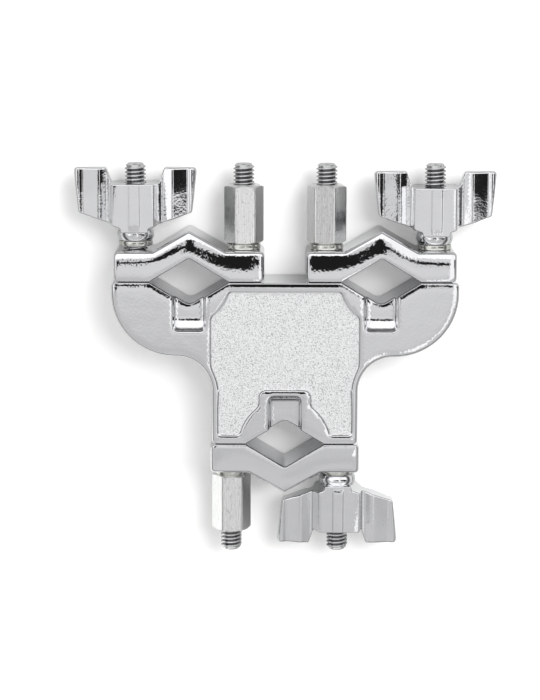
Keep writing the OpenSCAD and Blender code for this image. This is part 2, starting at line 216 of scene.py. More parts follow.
# %% Make a plate from an outline and two height functions
def arc_points(x, y, r, start, end, longest=0.6):
    """Points along an arc between two angles in degrees."""
    a = np.radians(np.linspace(start, end, int(abs(end - start) * np.pi / 180 * r / longest) + 2))
    return np.stack([x + r * np.cos(a), y + r * np.sin(a)], axis=1)


def slopes_of(height, points, reach=0.004):
    """Normals of the face z = height(points): across it, the height falls by its own slope."""
    right, up = np.array([reach, 0.0]), np.array([0.0, reach])
    dx = (height(points + right) - height(points - right)) / (2 * reach)
    dy = (height(points + up) - height(points - up)) / (2 * reach)
    return unit(np.stack([-dx, -dy, np.ones(len(points))], axis=1))


def nearest_gap(points, others):
    """Distance from each point to the nearest of the others."""
    gap = np.empty(len(points))
    for part in np.array_split(np.arange(len(points)), 1 + len(points) * len(others) // 6000000):
        away = points[part, None] - others[None]
        gap[part] = np.sqrt((away ** 2).sum(axis=2).min(axis=1))
    return gap


def inside(points, path):
    """True for points that a closed path goes round: a ray to the right crosses it an odd number
    of times."""
    a, b = path[None], np.roll(path, -1, axis=0)[None]
    x, y = points[:, 0][:, None], points[:, 1][:, None]
    spans = (a[..., 1] > y) != (b[..., 1] > y)
    rise = np.where(b[..., 1] == a[..., 1], 1e-12, b[..., 1] - a[..., 1])
    crossing = a[..., 0] + (y - a[..., 1]) * (b[..., 0] - a[..., 0]) / rise
    return (spans & (x < crossing)).sum(axis=1) % 2 == 1


def face_net(rim, lines, spacing):
    """Triangles that fill a rim. lines are open or closed rows of points that the net follows,
    and a staggered lattice fills the rest. Returns the points, rim first, and the triangles."""
    points, edges = [rim], [(i, (i + 1) % len(rim)) for i in range(len(rim))]
    count = len(rim)
    for line, closed in lines:
        keep = inside(line, rim)
        keep[keep] = nearest_gap(line[keep], rim) > 0.12
        number = np.cumsum(keep) - 1 + count
        joined = keep & np.roll(keep, -1)
        if not closed:
            joined[-1] = False
        edges += [(int(a), int(b)) for a, b in zip(number[joined], np.roll(number, -1)[joined])]
        points.append(line[keep])
        count += int(keep.sum())
    lo, hi = rim.min(axis=0), rim.max(axis=0)
    rows = np.arange(lo[1], hi[1], spacing * 0.866)
    columns = np.arange(lo[0], hi[0], spacing)
    x = columns[None] + (np.arange(len(rows)) % 2)[:, None] * spacing / 2
    lattice = np.stack([x.ravel(), np.repeat(rows, len(columns))], axis=1)
    lattice = lattice[inside(lattice, rim)]
    lattice = lattice[nearest_gap(lattice, np.concatenate(points)) > spacing * 0.55]
    points = np.concatenate(points + [lattice])
    found = delaunay_2d_cdt([Vector(p) for p in points], edges, [list(range(len(rim)))], 0, 1e-7)
    triangles = np.array([f for f, origin in zip(found[2], found[5]) if origin])
    source = np.array([o[0] if o else -1 for o in found[3]])
    assert (source >= 0).all(), "a line of the net crosses another"
    return points, source[triangles]


def hole_patch(strip, number, edge_rows, hole, reach=1.1):
    """Part of the edge wall round a hole (x, y, z, radius), which replaces the wall's own quads.
    Returns the columns it replaces, its new points, and triangles numbered after the old points."""
    x, y, z, radius = hole
    spots = strip.reshape(-1, 3)
    away = np.abs(strip[edge_rows, :, :2] - [x, y])
    on = np.flatnonzero((away[:, 1] < 1e-6) & (away[:, 0] < radius + reach))
    block = number[edge_rows:len(strip) - edge_rows, on]
    ring = np.concatenate([block[0], block[1:-1, -1], block[-1][::-1], block[1:-1, 0][::-1]])
    if spots[ring[1], 0] > spots[ring[0], 0]:
        ring = ring[::-1]
    rim = spots[ring][:, [0, 2]]
    circle = arc_points(x, z, radius, 0, 360, radius / 8)[:-1]
    points, triangles = face_net(rim, [(circle, True)], 1.4)
    off = np.linalg.norm(points[triangles].mean(axis=1) - [x, z], axis=1)
    triangles = triangles[off > radius * 0.99]
    used = np.unique(triangles[triangles >= len(rim)])
    fresh = np.zeros(len(points), dtype=int)
    fresh[:len(rim)] = ring
    fresh[used] = number.size + np.arange(len(used))
    facing = 1 if strip[..., 1].mean() < y else -1
    triangles = fresh[triangles]
    if facing > 0:
        triangles = triangles[:, ::-1]
    new = np.column_stack([points[used, 0], np.full(len(used), y), points[used, 1]])
    return on, new, triangles, np.tile([0.0, facing, 0.0], (len(used), 1))


def plate(corners, front, back, edge_depth, lines=(), spacing=1.2, longest=0.6, holes=(),
          edge_rows=7, wall_rows=3):
    """Closed plate. front and back give the faces' heights over (x, y). Ring by ring, the angle a
    runs from 0 to 90 degrees: a share 1 - sin a of the rounding inwards, and 1 - cos a of it down.
    edge_depth is how far down it goes in all, or None for as far as it goes inwards."""
    angles = np.linspace(0, np.pi / 2, edge_rows + 1)
    rings = [rounded_outline(corners, 1 - np.sin(a), longest) for a in angles]
    round_of = rings[0][1] if edge_depth is None else np.full(len(rings[0][1]), edge_depth)
    drops = [round_of * (1 - np.cos(a)) for a in angles]
    top = [np.column_stack([p, front(p) - drop]) for (p, _), drop in zip(rings, drops)]
    bottom = [np.column_stack([p, back(p) + drop]) for (p, _), drop in zip(rings, drops)]
    wall = [top[-1] + (bottom[-1] - top[-1]) * k / wall_rows for k in range(1, wall_rows)]
    strip = np.stack(top + wall + bottom[::-1])
    rows, around = strip.shape[:2]
    down = np.gradient(strip, axis=0)
    along = np.roll(strip, -1, axis=1) - np.roll(strip, 1, axis=1)
    normal = unit(np.cross(down, along))
    rim = rings[0][0]
    points, triangles = face_net(rim, lines, spacing)
    n = len(rim)
    number = np.arange(rows * around).reshape(rows, around)
    after = np.roll(number, -1, axis=1)
    quads = np.stack([number[:-1], number[1:], after[1:], after[:-1]], axis=-1)
    keep = np.ones(quads.shape[:2], dtype=bool)
    patches, extra, extra_normals, count = [], [], [], 0
    for hole in holes:
        on, new, patch, new_normals = hole_patch(strip, number, edge_rows, hole)
        keep[edge_rows:rows - 1 - edge_rows, on[:-1]] = False
        patches.append(np.where(patch >= number.size, patch + count, patch))
        extra.append(new)
        extra_normals.append(new_normals)
        count += len(new)
    quads = quads[keep]
    inner = points[n:]
    inner_number = number.size + count + np.arange(len(inner))
    front_number = np.concatenate([number[0], inner_number])
    back_number = np.concatenate([number[-1], inner_number + len(inner)])
    front_normal = slopes_of(front, points)
    back_normal = slopes_of(back, points) * -1
    normal[0], normal[-1] = front_normal[:n], back_normal[:n]
    vertices = np.concatenate([strip.reshape(-1, 3), *extra, np.column_stack([inner, front(inner)]),
                               np.column_stack([inner, back(inner)])])
    normals = np.concatenate([normal.reshape(-1, 3), *extra_normals,
                              front_normal[n:], back_normal[n:]])
    faces = [quads, *patches, front_number[triangles], back_number[triangles[:, ::-1]]]
    return vertices, faces, normals


# %% [markdown]
# ## From points to objects
#
# Every shape here is a list of points, faces and normals in millimetres, worked out in numpy.
# One function puts such a shape into a Blender object, and a few small ones join shapes, move
# them, or turn a profile about an axis as a lathe does.

# %% Put worked-out points into an object
def piece(name, vertices, faces, normals=None, marks=None):
    """Object from points in mm, with faces as arrays of corner numbers, and its own normals."""
    mesh = bpy.data.meshes.new(name)
    mesh.from_pydata((vertices * MM).tolist(), [], [f for block in faces for f in block.tolist()])
    mesh.polygons.foreach_set("use_smooth", np.ones(len(mesh.polygons), dtype=bool))
    for mark, values in (marks or {}).items():
        layer = mesh.attributes.new(mark, "FLOAT", "POINT")
        layer.data.foreach_set("value", values.astype(np.float32))
    if normals is not None:
        mesh.normals_split_custom_set_from_vertices(normals.tolist())
    mesh.validate()
    return in_scene(name, mesh)


def joined(parts):
    """One set of points, faces and normals from several."""
    start, vertices, faces, normals = 0, [], [], []
    for v, f, n in parts:
        vertices.append(v)
        faces += [block + start for block in f]
        normals.append(n)
        start += len(v)
    return np.concatenate(vertices), faces, np.concatenate(normals)


def about_y(radius, height, angle):
    """Points at that radius from the Y axis, that height along it and that angle from Z to X."""
    return np.stack([radius * np.sin(angle), height + 0 * angle, radius * np.cos(angle)], axis=-1)


def turned(profile, around=72):
    """Profile of (radius, height) points turned about the height axis, which is Y.
    Normals follow the profile's own slope. Sharp corners are given twice in the profile."""
    profile = np.asarray(profile, dtype=float)
    a = 2 * np.pi * np.arange(around) / around
    grid = about_y(profile[:, :1], profile[:, 1:], a)
    slope = np.gradient(profile, axis=0)
    same = np.linalg.norm(np.diff(profile, axis=0), axis=1) < 1e-9
    for i in np.flatnonzero(same):
        slope[i] = profile[i] - profile[i - 1]
        slope[i + 1] = profile[i + 2] - profile[i + 1]
    out = unit(np.stack([slope[:, 1], -slope[:, 0]], axis=1))
    normal = about_y(out[:, :1], out[:, 1:], a)
    quads = grid_quads(*grid.shape[:2])[np.repeat(~same, around)]
    return grid.reshape(-1, 3), [quads], normal.reshape(-1, 3)


def grid_quads(rows, around):
    """Faces between the rows of a grid of points that closes on itself round each row."""
    number = np.arange(rows * around).reshape(rows, around)
    after = np.roll(number, -1, axis=1)
    return np.stack([number[:-1], after[:-1], after[1:], number[1:]], axis=-1).reshape(-1, 4)


def soft_step(depth, softness):
    """Rises smoothly from 0 to 1 as depth passes 0: 1 / (1 + exp(-1.702 depth / softness))."""
    return 1 / (1 + np.exp(np.clip(-1.702 * depth / softness, -40, 40)))


def placed(shape, x=0.0, y=0.0, z=0.0, half_turn=False):
    """The same shape moved, and turned by half a turn round Z first where asked."""
    v, f, n = shape
    if half_turn:
        v, n = v * [-1, -1, 1], n * [-1, -1, 1]
    return v + [x, y, z], f, n


print("a soft step at -1, 0 and 1 softness:", soft_step(np.array([-1.0, 0, 1]), 1).round(2))

# %% [markdown]
# ## The castings' outlines
#
# The body and the jaws are diecast, so their outlines have a radius at every corner.
# The body has two round shoulders, hollows that run into a straight column, and three V grooves.
# A jaw has two flat ears and a pointed back over its own V.
# The sizes repeat the ones the solids were made from, because each casting takes its solid's place.

# %% List the castings' corners
DEPTH = 22.0
PARTING, JAW_GAP = 30.3, 0.2
CLAMP_X = 35.3
STUD_X = 20.0
JAW_X = 27.6
VEE_X, VEE_DEPTH = 14.35, 8.7
SHOULDER_X, SHOULDER_Y, SHOULDER_R = 63.9, 2.6, 23.5
COLUMN_X = 27.0
HOLLOW_R = SHOULDER_X - COLUMN_X - SHOULDER_R - 0.4
EAR, PEAK, KNEE_X = 11.1, 18.8, 13.4
ROUND, GRIP_ROUND = 1.2, 0.5
STUD_R, HOLE_R, BORE_R = 3.97, 4.47, 4.05
WASHER_THICK = 2.0


def vee(x, y, way, down, bottom=3.6):
    """Three corners of a V groove: a lip, the bottom with its own radius, and the other lip. way
    says from which side the outline comes, and down which way the groove goes."""
    return [[x - way * VEE_X, y, 1.0, GRIP_ROUND], [x, y + down * VEE_DEPTH, bottom, GRIP_ROUND],
            [x + way * VEE_X, y, 1.0, GRIP_ROUND]]


body_corners = [
    [-SHOULDER_X, PARTING, 1.6, ROUND], [-SHOULDER_X, SHOULDER_Y, SHOULDER_R, ROUND],
    [-COLUMN_X, SHOULDER_Y, HOLLOW_R, ROUND], [-COLUMN_X, -PARTING, 1.6, GRIP_ROUND],
    *vee(0, -PARTING, 1, 1),
    [COLUMN_X, -PARTING, 1.6, ROUND], [COLUMN_X, SHOULDER_Y, HOLLOW_R, ROUND],
    [SHOULDER_X, SHOULDER_Y, SHOULDER_R, ROUND], [SHOULDER_X, PARTING, 1.6, GRIP_ROUND],
    *vee(CLAMP_X, PARTING, -1, -1), *vee(-CLAMP_X, PARTING, -1, -1),
]
jaw_corners = [
    [-JAW_X, 0, 1.6, GRIP_ROUND], *vee(0, 0, 1, 1, 1.2),
    [JAW_X, 0, 1.6, ROUND], [JAW_X, EAR, 1.6, ROUND], [KNEE_X, EAR, 1.6, ROUND],
    [0, PEAK, 1.6, ROUND], [-KNEE_X, EAR, 1.6, ROUND], [-JAW_X, EAR, 1.6, ROUND],
]
body_path = rounded_outline(body_corners)[0]
jaw_path = rounded_outline(jaw_corners)[0]
for name, path in (("body", body_path), ("jaw", jaw_path)):
    print(name, "outline", np.ptp(path, axis=0).round(1), "mm")

# %% [markdown]
# ## The jaws
#
# The buffing wheel has drawn the jaws' flats down along their outer sides, by up to a millimetre,
# over the last 5 mm. Where it was pressed hard, a jaw mirrors a wide bright band and a thin dark
# line under it, and where it was held lightly, that line grows to a broad dark patch.
# The grips and partings were only broken with a file, so they feel a much smaller brush.

# %% Make the three jaws
outer_path = np.array([[-JAW_X - 9, -30], [JAW_X + 4, -30], [JAW_X + 4, EAR], [KNEE_X, EAR],
                       [0, PEAK], [-KNEE_X, EAR], [-JAW_X - 9, EAR]])


def filed(points, path, depth=0.3, brush=0.8):
    """How far an edge that was only broken is drawn down: 0 well inside, half the depth at it."""
    return depth * (1 - brush_share(points, path, brush))


def jaw_front(left, right):
    """Height of a jaw's front. left and right say how hard the wheel was pressed at its ends: the
    harder, the smaller the brush that it is like."""
    def height(points):
        hard = left + (right - left) * soft_step(points[:, 0], 7.0)
        close = 2.0 * (1 - brush_share(points, outer_path, 3.0))
        wide = 1.95 * (1 - brush_share(points, outer_path, 5.2))
        return DEPTH - hard * close - (1 - hard) * wide - filed(points, jaw_path)
    return height


ear_holes = [(side * STUD_X, y, DEPTH / 2, HOLE_R) for side in (-1, 1) for y in (0, EAR)]
ear_bore = turned([(HOLE_R, EAR), (HOLE_R, 0)], 48)
for clamp, x, y, half, left, right in (
        ("upper_left", -CLAMP_X, PARTING + JAW_GAP, False, 1.0, 0.1),
        ("upper_right", CLAMP_X, PARTING + JAW_GAP, False, 0.0, 0.75),
        ("lower", 0, -PARTING - JAW_GAP, True, 0.2, 0.2)):
    front = jaw_front(left, right)
    shape = plate(jaw_corners, front, lambda p: filed(p, jaw_path), ROUND, holes=ear_holes)
    shape = joined([shape] + [placed(ear_bore, side * STUD_X, 0, DEPTH / 2) for side in (-1, 1)])
    jaw = piece(clamp + "_polished_jaw", *placed(shape, x, y, 0, half))
    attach(jaw, clamp + "_jaw")
    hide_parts(clamp + "_jaw")
    print(clamp, "jaw:", len(shape[0]), "points")

# %% [markdown]
# ## The body's pockets and panel
#
# In front of each groove the pattern maker left a thumb pocket, 3 mm deep, with steep walls and
# a ramp up to its far end. The panel between them is sunk 0.7 mm and grained like fine sand.
# Both are pressed out of the face by the same brush: a small one makes their soft steps.

# %% Describe the pockets and the panel
POCKET_HALF, POCKET_DEEP, POCKET_END_DEEP = 5.7, 3.0, 1.0
POCKET_END, POCKET_RAMP, POCKET_R, POCKET_LIP = 18.1, 4.6, 1.8, 3.0
PANEL_DEEP = 0.7


def pocket_outline(lip_radius, inwards=0.0):
    """Outline of a pocket in its own frame, moved inwards. It starts outside the parting."""
    return rounded_outline([
        [-POCKET_HALF, POCKET_LIP, lip_radius, 1], [-POCKET_HALF, -POCKET_END, POCKET_R, 1],
        [POCKET_HALF, -POCKET_END, POCKET_R, 1], [POCKET_HALF, POCKET_LIP, lip_radius, 1],
    ], inwards)[0]


pocket_path = pocket_outline(0.5)


def in_pocket(points):
    """Places in each of the three pockets' own frames, whose far end points down."""
    return [points - [-CLAMP_X, PARTING], points - [CLAMP_X, PARTING], -(points - [0, -PARTING])]


def pocket_dip(points):
    """Depth of the pockets: a level floor, then a ramp that bends up, times the brush share."""
    dip = np.zeros(len(points))
    for local in in_pocket(points):
        near = (np.abs(local[:, 0]) < 9) & (local[:, 1] > -22) & (local[:, 1] < POCKET_LIP)
        run = np.clip((-local[near, 1] - (POCKET_END - POCKET_RAMP)) / POCKET_RAMP, 0, 1.3)
        floor = POCKET_DEEP - (POCKET_DEEP - POCKET_END_DEEP) * run ** 2
        dip[near] += floor * brush_share(local[near], pocket_path, 0.3)
    return dip


print("pocket outline", np.ptp(pocket_path, axis=0).round(1))

PANEL_SIDE, PANEL_COLUMN, PANEL_TOP, PANEL_FOOT = 27.4, 24.8, 26.9, -26.9
HOLLOW_Y = SHOULDER_Y - HOLLOW_R
PANEL_ROUNDS = [(-CLAMP_X, PARTING, 15.0), (CLAMP_X, PARTING, 15.0),
                (-COLUMN_X - HOLLOW_R, HOLLOW_Y, HOLLOW_R + 2.2),
                (COLUMN_X + HOLLOW_R, HOLLOW_Y, HOLLOW_R + 2.2), (0, -PARTING, 17.0)]
LOWER_HALF, LOWER_END, LOWER_R = 9.6, -10.0, 2.6


def soft_least(values, blend=0.5):
    """The least of several distances, with a smooth passage where two are nearly the same:
    minus blend times the logarithm of the sum of exp(-distance / blend)."""
    values = np.stack(values)
    least = values.min(axis=0)
    return least - blend * np.log(np.exp(-(values - least) / blend).sum(axis=0))


def within_panel(points):
    """Distance inwards from the panel's border: the soft least of the distances to its sides, its
    round cut-outs and the border of the lower pocket."""
    x, y = np.abs(points[:, 0]), points[:, 1]
    sides = np.maximum(np.minimum(PANEL_SIDE - x, y - HOLLOW_Y), PANEL_COLUMN - x)
    rounds = [np.hypot(points[:, 0] - cx, y - cy) - r for cx, cy, r in PANEL_ROUNDS]
    qx, qy = x - (LOWER_HALF - LOWER_R), y - (LOWER_END - LOWER_R)
    lower = np.hypot(np.maximum(qx, 0), np.maximum(qy, 0)) + np.minimum(np.maximum(qx, qy), 0)
    return soft_least([sides, PANEL_TOP - y, y - PANEL_FOOT, lower - LOWER_R] + rounds)


def walk_round(field, start, level, stride=0.5):
    """Closed row of points where the field has the level. From the start it goes one stride
    across the slope, then straight back to the level, until it meets the start again."""
    def settled(p):
        for _ in range(6):
            here, dx, dy = field(p + np.array([[0, 0], [1e-4, 0], [0, 1e-4]]))
            slope = np.array([dx - here, dy - here]) / 1e-4
            p = p - (here - level) * slope / (slope @ slope)
        return p, np.array([-slope[1], slope[0]]) / np.linalg.norm(slope)

    row = [settled(np.array(start))]
    while len(row) < 4 or np.linalg.norm(row[-1][0] - row[0][0]) > stride * 0.9:
        row.append(settled(row[-1][0] + row[-1][1] * stride))
        assert len(row) < 2000, "the walk doesn't close"
    return np.array([p for p, _ in row[:-1]])


border = walk_round(within_panel, (0.0, PANEL_TOP), 0.0)
print("panel border:", len(border), "points,", np.ptp(border, axis=0).round(1), "mm")

# %% [markdown]
# ## The body
#
# The body's front is its flat, less what the file, the pockets and the panel take away.
# The net of triangles follows the borders of the pockets and the panel at several depths, so each
# soft step gets rows of small triangles, and the flats between them stay coarse.
# The mark "grained" tells the chrome later on where the panel's sandy floor lies.

# %% Make the body
def body_front(points):
    """Height of the body's front: the file rounds its edge, the pockets and the panel are sunk."""
    return (DEPTH - filed(points, body_path, 0.5, 1.3) - pocket_dip(points)
            - PANEL_DEEP * soft_step(within_panel(points), 0.22))


body_lines = []
for level in (-0.7, -0.45, -0.2, 0.0, 0.2, 0.45, 0.7):
    path = pocket_outline(0.8, level)
    for line in (path + [-CLAMP_X, PARTING], path + [CLAMP_X, PARTING], -path + [0, -PARTING]):
        body_lines.append((line, True))
for level in (-0.4, -0.15, 0.15, 0.4):
    body_lines.append((walk_round(within_panel, (0.0, PANEL_TOP), level), True))
body_shape = plate(body_corners, body_front, lambda p: filed(p, body_path), ROUND,
                   body_lines, spacing=1.3, longest=0.35)
grained = soft_step(within_panel(body_shape[0][:, :2]) - 0.25, 0.2) * (body_shape[0][:, 2] > 15)
body = piece("polished_body", *body_shape, marks={"grained": grained})
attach(body, "clamp_body")
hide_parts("body")
print("body:", len(body_shape[0]), "points")

# %% [markdown]
# ## Wing nuts
#
# A wing nut is a diecast hub with a collar under it and two wings. Seen from above, each wing
# swells to a ridge, falls to a hollow finger pad and ends in a rim, and that profile runs
# straight up the wing. A lathe could make the hub and an extrusion the wings, but they melt
# into each other, so the nut is one more plate: both faces stand at half the thickness that
# the profile gives at each place across. The profile blends hub and web by the logarithm of the
# sum of their exponentials, which follows the larger one and passes smoothly between them.

# %% Describe a wing nut
NUT_SEAT = JAW_GAP + EAR + WASHER_THICK
HUB_R, HUB_TOP, COLLAR_R = 8.9, 21.3, 6.8
STRIP_HALF, STRIP_FOOT, STRIP_HIGH = 1.9, 5.2, 0.25
WING_TIP, TIP_EASE = 20.9, 1.7
FINE, BELL_STEPS, BELL_WIDTH = 0.02, 60, 0.28
wing_right = [
    [5.0, 3.5, 0.5, 0.4], [5.0, 4.9, 1.1, 0.6], [20.9, 10.3, 1.4, 0.9], [22.8, 27.0, 1.4, 0.8],
    [10.73, 27.0, 0.9, 0.5], [8.9, 21.3, 0.6, 0.5],
]
# Mirrored, each corner is followed by the side that led up to it.
wing_left = [[-x, y, r, before] for (x, y, r, _), before in
             zip(wing_right[::-1], [wing_right[i - 1][3] for i in range(5, -1, -1)])]
wing_left[-1][3] = 0.4
wing_corners = wing_right + wing_left
across = np.arange(-26, 26.01, FINE)
web = np.interp(
    across, [-22.8, -20.4, -19.4, -13.9, -12.9, -10.5, 10.2, 13.4, 14.0, 19.4, 20.4, 22.8],
    [3.6, 3.6, 3.1, 4.05, 4.1, 3.0, 3.0, 4.05, 4.1, 2.5, 3.1, 3.1])
hub = np.interp(across, [-HUB_R, -8.5, 7.3, 9.3, 9.6], [0.0, HUB_R, HUB_R, 2.8, 0.0])
step = np.arange(-BELL_STEPS, BELL_STEPS + 1) * FINE
bell = np.exp(-step ** 2 / (2 * BELL_WIDTH ** 2))
thick = np.pad(np.log(np.exp(web * 4) + np.exp(hub * 4)) / 4, BELL_STEPS, mode="edge")
thick = np.convolve(thick, bell / bell.sum(), "valid")
thick -= TIP_EASE * np.clip((np.abs(across) - WING_TIP) / 1.9, 0, 1) ** 3


def wing_half(points):
    """Height of the nut's front over its middle: hub and web blended, eased at the wing tips, and
    the bare strip. The mould's draft thins it towards the top, and the wheel a little more on the
    wings. The back is the same, because the nut looks alike after half a turn about its axis."""
    x = np.abs(points[:, 0])
    draft = np.interp(x, [6, 12], [0.012, 0.042]) * (points[:, 1] - 10)
    draft = draft + 0.0035 * np.clip(points[:, 1] - 17, 0, 10) ** 2 * (x > 12)
    strip = STRIP_HIGH * soft_step(STRIP_HALF - x, 0.1) * soft_step(points[:, 1] - STRIP_FOOT, 0.6)
    return np.interp(points[:, 0], across, thick) + strip - draft


swell = np.linspace(-1, 1, 15)
collar = turned(
    [(BORE_R, HUB_TOP), (BORE_R, 0.0), (BORE_R, 0.0), (5.6, 0.0), (5.6, 0.0), (6.0, 0.08)]
    + [(COLLAR_R - 0.6 * s * s, 2.25 + 2.1 * s) for s in swell] + [(5.2, 4.6), (4.6, 5.2)])
wing_lines = []
for x in [1.5, 1.75, 1.9, 2.05, 2.3, *np.arange(6.8, 10.9, 0.3), 12.5, 12.8, 13.1, 13.5, 13.9,
          14.2, 18.8, 19.2, 19.5, 19.8, 20.1, 20.4, 20.8, 21.3, 21.8, 22.2]:
    y = np.arange(4, 27, 0.8)
    wing_lines += [(np.stack([np.full(len(y), side * x), y], axis=1), False) for side in (-1, 1)]
wing_body = plate(wing_corners, wing_half, lambda p: -wing_half(p * [-1, 1]), None, wing_lines,
                  spacing=0.9, longest=0.4, holes=[(0, HUB_TOP, 0, BORE_R)])
wing_shape = joined([wing_body, collar])
print("wing nut:", len(wing_shape[0]), "points")

# %% [markdown]
# ## Three wing nuts in place
#
# The three nuts are alike, and the lower one is turned by half a turn. The upper left one is
# loosened by 1.2 mm, as the photo shows it, so its washer hangs free on the stud.

# %% Put the wing nuts on their studs
STUDS = {"upper_left": (-CLAMP_X, 1), "upper_right": (CLAMP_X, 1), "lower": (0.0, -1)}
LOOSENED = {"upper_left": 1.2}
wing_side = {"upper_left": -1, "upper_right": 1, "lower": 1}
for clamp, (x, way) in STUDS.items():
    lift = LOOSENED.get(clamp, 0.0)
    spot = (x + wing_side[clamp] * STUD_X, way * (PARTING + NUT_SEAT + lift), DEPTH / 2)
    nut = piece(clamp + "_cast_wing_nut", *placed(wing_shape, *spot, way < 0))
    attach(nut, clamp + "_wing_nut")
    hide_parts(clamp + "_wing_nut")
    print(clamp, "wing nut seat at", [round(float(v), 1) for v in spot])

# %% [markdown]
# ## Long nuts
#
# The long nuts are cut from bright hexagon bar, and both ends are turned to a bevel in a lathe.
# The bevel's cone cuts each flat in an arc. Rather than cutting a prism with a cone, every line
# along the nut ends where the cone meets the hexagon at its own angle.

# %% Make a long nut
HEX_FLAT, HEX_LONG, HEX_FACE, HEX_BEVEL = 12.9, 22.0, 5.6, 1.1


def long_nut(turn):
    """Hexagon of radius flat / 2 / cos(angle to the nearest flat), softened at its corners, from
    cone to cone. The cone's height grows from 0 at the end face with the radius."""
    near = np.array([-3.0, -1.6, -0.8, 0, 0.8, 1.6, 3.0])
    a = np.sort(np.concatenate([np.linspace(0, 360, 96, endpoint=False)]
                               + [30 + 60 * k + near for k in range(6)]))
    off = np.abs((a + 30) % 60 - 30)
    r = HEX_FLAT / 2 / np.cos(np.radians(off))
    r = r - 0.12 * np.exp(-((30 - off) / 1.6) ** 2)
    slope = HEX_BEVEL / (HEX_FLAT / np.sqrt(3) - HEX_FACE)
    cone = (r - HEX_FACE) * slope
    flat = 0 * r
    chamfer, mouth = (flat + BORE_R, flat + 0.7), (flat + BORE_R + 0.5, flat)
    face, rim = (flat + HEX_FACE, flat), (r, cone)
    rows = [chamfer, mouth, face, rim]
    rows += [(q, HEX_LONG - h) for q, h in rows[::-1]]
    points, normals, quads = [], [], []
    for band in zip(rows, rows[1:] + rows[:1]):
        grid = np.stack([about_y(q, h, np.radians(a + turn)) for q, h in band])
        along = np.roll(grid, -1, axis=1) - np.roll(grid, 1, axis=1)
        normal = unit(np.cross(along, (grid[1] - grid[0])[None]))
        quads.append(grid_quads(2, len(a)) + sum(len(p) for p in points))
        points.append(grid.reshape(-1, 3))
        normals.append(normal.reshape(-1, 3))
    return np.concatenate(points), quads, np.concatenate(normals)


hex_turn = {"upper_left": 4.5, "upper_right": -8.0, "lower": -4.0}
for clamp, (x, way) in STUDS.items():
    spot = (x - wing_side[clamp] * STUD_X, way * (PARTING + NUT_SEAT), DEPTH / 2)
    nut = piece(clamp + "_bar_long_nut", *placed(long_nut(hex_turn[clamp]), *spot, way < 0))
    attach(nut, clamp + "_hex_nut")
    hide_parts(clamp + "_hex_nut")

# %% [markdown]
# ## Threaded studs
#
# A 5/16 inch stud has 18 threads an inch. The thread is one long ridge wound round the core, so
# its radius depends on the height less the angle's share of a turn. Worked out on a grid of angle
# and height, the whole thread is a single surface that winds as the real one does.

# %% Make the six studs
PITCH, THREAD_DEEP = 25.4 / 18, 0.82
STUD_FOOT, STUD_TIP = PARTING - 13.0, PARTING + 43.0
SHANK, THREAD_START = 13.5, 13.7


def stud(tip_bevel=1.3, around=48):
    """Radius = stud radius less the thread depth times a rounded zigzag of height / pitch minus
    angle / turn. The tip is also held under a cone, and the end is closed flat."""
    a = np.linspace(0, 2 * np.pi, around, endpoint=False)
    long = STUD_TIP - STUD_FOOT
    threaded = np.arange(THREAD_START, long - 0.001, PITCH / 10)
    h = np.concatenate([np.linspace(0, SHANK, 4), threaded, [long]])
    phase = (h[:, None] / PITCH - a[None] / (2 * np.pi)) % 1.0
    zigzag = np.abs(2 * phase - 1)
    cut = np.clip((zigzag - 0.18) / 0.64, 0, 1)
    fade = np.clip((h - SHANK) / 1.5, 0, 1)[:, None]
    r = STUD_R - 0.04 - THREAD_DEEP * cut * fade
    r = np.minimum(r, STUD_R - tip_bevel + (h[-1] - h)[:, None])
    rows = np.concatenate([np.zeros((1, around)), r, r[-1:] * 0.5, np.zeros((1, around))])
    heights = np.concatenate([h[:1], h, h[-1:], h[-1:]])[:, None]
    # crest is the share of the thread's height at each point; the stud's colour uses it for painted
    # shade in the grooves and a painted highlight on the crests
    crest = np.clip((rows - (STUD_R - THREAD_DEEP)) / THREAD_DEEP, 0, 1)
    # Painted highlight: the tip bevel is given a bright share
    crest = np.where(heights > h[-1] - tip_bevel, 0.75, crest)
    return about_y(rows, heights, a).reshape(-1, 3), grid_quads(len(rows), around), crest.ravel()


def merged(mesh):
    """Joins points that share a place, so poles close to a fan."""
    bm = bmesh.new()
    bm.from_mesh(mesh)
    bmesh.ops.remove_doubles(bm, verts=bm.verts, dist=1e-7)
    bm.to_mesh(mesh)
    bm.free()


points, quads, crest = stud()
shape = (points, [quads], np.zeros_like(points))
for clamp, (x, way) in STUDS.items():
    for side, word in ((-1, "left" if way < 0 else ("outer" if x < 0 else "inner")),
                       (1, "right" if way < 0 else ("inner" if x < 0 else "outer"))):
        v, f, _ = placed(shape, x + side * STUD_X, way * STUD_FOOT, DEPTH / 2, way < 0)
        name = clamp + "_" + word + "_stud"
        made = piece(name.replace("_stud", "_threaded_stud"), v, f, marks={"crest": crest})
        merged(made.data)
        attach(made, "clamp_body")
        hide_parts(name)
print("six studs with", round((STUD_TIP - STUD_FOOT - THREAD_START) / PITCH, 1), "threads each")

# %% [markdown]
# ## Lock washers
#
# A spring lock washer is a coil of square wire, cut through on a slant and flattened, with its
# corners rolled off. Its section is a rounded square carried round the stud, with the gap at the
# back as on the solid.

# %% Make the six lock washers
WASHER_INNER, WASHER_OUTER, WASHER_LEAN = STUD_R + 0.2, 6.3, 6.0


def lock_washer(rows=73, around=24):
    """Section (radius, height) of a rounded square carried round 340 degrees, with flat ends that
    lean with the height."""
    t = np.linspace(0, 2 * np.pi, around, endpoint=False)
    side, top = (np.sign(c) * np.abs(c) ** 0.35 for c in (np.cos(t), np.sin(t)))
    radius = (WASHER_INNER + WASHER_OUTER) / 2 + (WASHER_OUTER - WASHER_INNER) / 2 * side
    rise = 0.98 * top
    a = np.radians(np.linspace(190, 530, rows)[:, None] - WASHER_LEAN * rise[None])
    number = np.arange(rows * around).reshape(rows, around)
    return (about_y(radius, WASHER_THICK / 2 + rise, a).reshape(-1, 3),
            [grid_quads(rows, around), number[:1, ::-1], number[-1:]])


